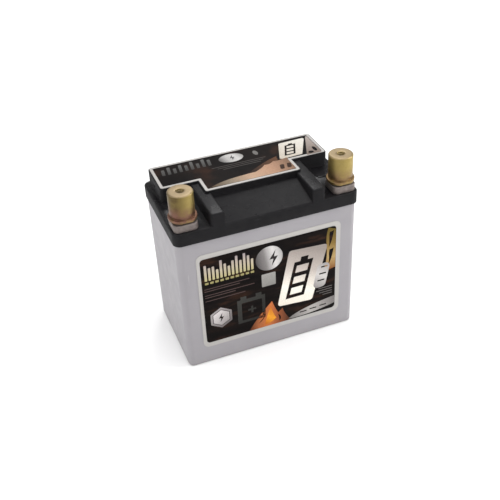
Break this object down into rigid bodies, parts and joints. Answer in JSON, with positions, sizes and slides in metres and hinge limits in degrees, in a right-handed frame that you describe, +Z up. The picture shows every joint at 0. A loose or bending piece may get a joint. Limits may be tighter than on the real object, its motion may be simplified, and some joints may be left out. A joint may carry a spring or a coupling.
{
  "type": "motorcycle battery",
  "caption": "Upright sealed battery with a grey case, a stepped black lid, round brass screw-in posts at the front corners, and a lift-off cover over relief valves.",
  "frame": {"origin": "middle of the underside of the battery", "axes": "+X along the length towards the negative post, -Y out of the labelled front, +Z up"},
  "size_m": [0.151, 0.087, 0.162],
  "materials": {
    "case_plastic": "satin moulded grey",
    "lid_plastic": "semi-gloss black",
    "label_print": "glossy printed film, black with silver, white and orange",
    "brass": "turned, slightly dull",
    "spring_steel": "zinc plated",
    "lead": "cast lead, dull grey",
    "epoxy": "poured epoxy",
    "valve_rubber": "moulded rubber",
    "porous_disc": "sintered porous plastic",
    "positive_plate": "brown lead dioxide paste",
    "negative_plate": "grey sponge lead paste",
    "glass_mat": "white glass fibre mat"
  },
  "bodies": {
    "battery": {"case": "case_plastic", "lid": "lid_plastic", "front_label": "label_print", "flame_arrestor_left": "porous_disc", "flame_arrestor_right": "porous_disc", "positive_terminal": "lead", "positive_seal": "epoxy", "positive_riser": "lead", "negative_terminal": "lead", "negative_seal": "epoxy", "negative_riser": "lead", "positive_plates_1": "positive_plate", "negative_plates_1": "negative_plate", "separator_mats_1": "glass_mat", "positive_plates_2": "positive_plate", "negative_plates_2": "negative_plate", "separator_mats_2": "glass_mat", "positive_plates_3": "positive_plate", "negative_plates_3": "negative_plate", "separator_mats_3": "glass_mat", "positive_plates_4": "positive_plate", "negative_plates_4": "negative_plate", "separator_mats_4": "glass_mat", "positive_plates_5": "positive_plate", "negative_plates_5": "negative_plate", "separator_mats_5": "glass_mat", "positive_plates_6": "positive_plate", "negative_plates_6": "negative_plate", "separator_mats_6": "glass_mat", "intercell_connectors": "lead"},
    "cover": {"vent_cover": "lid_plastic", "top_label": "label_print"},
    "positive_washer": {"positive_washer": "spring_steel"},
    "positive_post": {"positive_post": "brass"},
    "negative_washer": {"negative_washer": "spring_steel"},
    "negative_post": {"negative_post": "brass"},
    "valve_cap_1": {"valve_cap_1": "valve_rubber"},
    "valve_cap_2": {"valve_cap_2": "valve_rubber"},
    "valve_cap_3": {"valve_cap_3": "valve_rubber"},
    "valve_cap_4": {"valve_cap_4": "valve_rubber"},
    "valve_cap_5": {"valve_cap_5": "valve_rubber"},
    "valve_cap_6": {"valve_cap_6": "valve_rubber"}
  },
  "joints": [
    {"name": "cover_lift", "type": "slide", "parent": "battery", "child": "cover", "axis": [0, 0, 1], "range_m": [0, 0.03]},
    {"name": "positive_post_rise", "type": "slide", "parent": "battery", "child": "positive_washer", "axis": [0, 0, 1], "range_m": [0, 0.01]},
    {"name": "positive_post_turn", "type": "hinge", "parent": "positive_washer", "child": "positive_post", "pos_m": [-0.0642, -0.0319, 0.1395], "axis": [0, 0, 1], "range_deg": [0, 2880]},
    {"name": "negative_post_rise", "type": "slide", "parent": "battery", "child": "negative_washer", "axis": [0, 0, 1], "range_m": [0, 0.01]},
    {"name": "negative_post_turn", "type": "hinge", "parent": "negative_washer", "child": "negative_post", "pos_m": [0.0642, -0.0319, 0.1395], "axis": [0, 0, 1], "range_deg": [0, 2880]},
    {"name": "valve_cap_1_lift", "type": "slide", "parent": "battery", "child": "valve_cap_1", "axis": [0, 0, 1], "range_m": [0, 0.0008], "stiffness_N_per_m": 600, "springref_m": -0.002},
    {"name": "valve_cap_2_lift", "type": "slide", "parent": "battery", "child": "valve_cap_2", "axis": [0, 0, 1], "range_m": [0, 0.0008], "stiffness_N_per_m": 600, "springref_m": -0.002},
    {"name": "valve_cap_3_lift", "type": "slide", "parent": "battery", "child": "valve_cap_3", "axis": [0, 0, 1], "range_m": [0, 0.0008], "stiffness_N_per_m": 600, "springref_m": -0.002},
    {"name": "valve_cap_4_lift", "type": "slide", "parent": "battery", "child": "valve_cap_4", "axis": [0, 0, 1], "range_m": [0, 0.0008], "stiffness_N_per_m": 600, "springref_m": -0.002},
    {"name": "valve_cap_5_lift", "type": "slide", "parent": "battery", "child": "valve_cap_5", "axis": [0, 0, 1], "range_m": [0, 0.0008], "stiffness_N_per_m": 600, "springref_m": -0.002},
    {"name": "valve_cap_6_lift", "type": "slide", "parent": "battery", "child": "valve_cap_6", "axis": [0, 0, 1], "range_m": [0, 0.0008], "stiffness_N_per_m": 600, "springref_m": -0.002}
  ],
  "couplings": [
    {"joint": "positive_post_turn", "follows": "positive_post_rise", "rad_per_m": 5026.5},
    {"joint": "negative_post_turn", "follows": "negative_post_rise", "rad_per_m": 5026.5}
  ]
}
